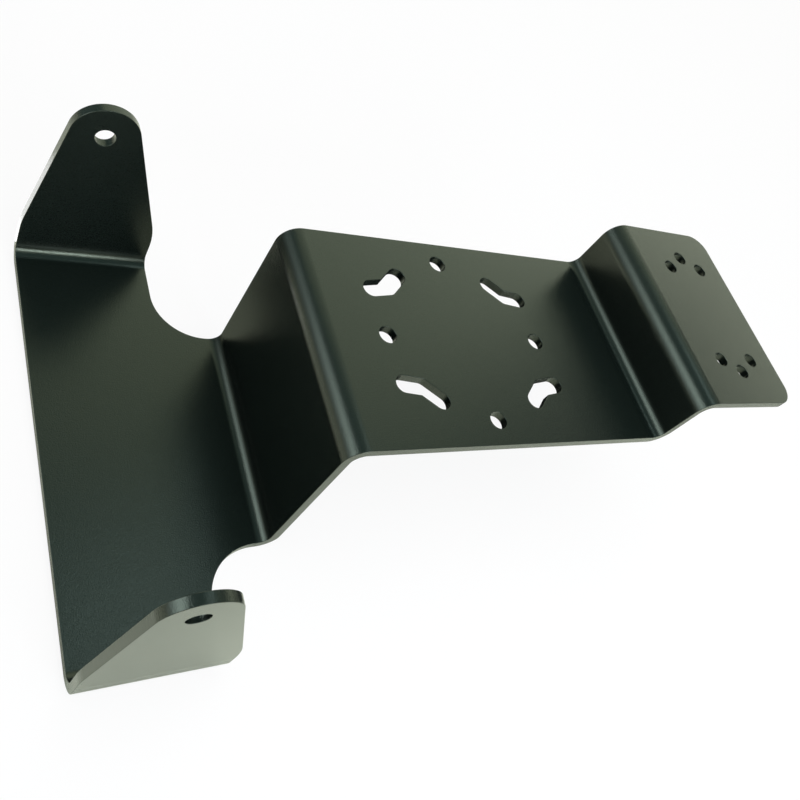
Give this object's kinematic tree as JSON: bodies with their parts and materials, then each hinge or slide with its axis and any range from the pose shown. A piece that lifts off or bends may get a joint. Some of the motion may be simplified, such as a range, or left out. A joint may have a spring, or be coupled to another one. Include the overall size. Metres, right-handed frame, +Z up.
{
  "type": "speaker mounting bracket",
  "caption": "Folded sheet-steel bracket that carries a loudspeaker between two pivot ears, with a raised slotted middle plate and a raised drilled end tab.",
  "frame": {"origin": "centre of the middle plate's hole circle, on the plate's upper face", "axes": "+X runs along the strip from the yoke to the end tab, +Y across it to the left ear, +Z up out of the plate's upper face"},
  "size_m": [0.2777, 0.172, 0.1008],
  "materials": {
    "powder_coat": "black satin powder coat with a fine grain, on steel sheet"
  },
  "bodies": {
    "root": {"bracket": "powder_coat"}
  },
  "joints": []
}
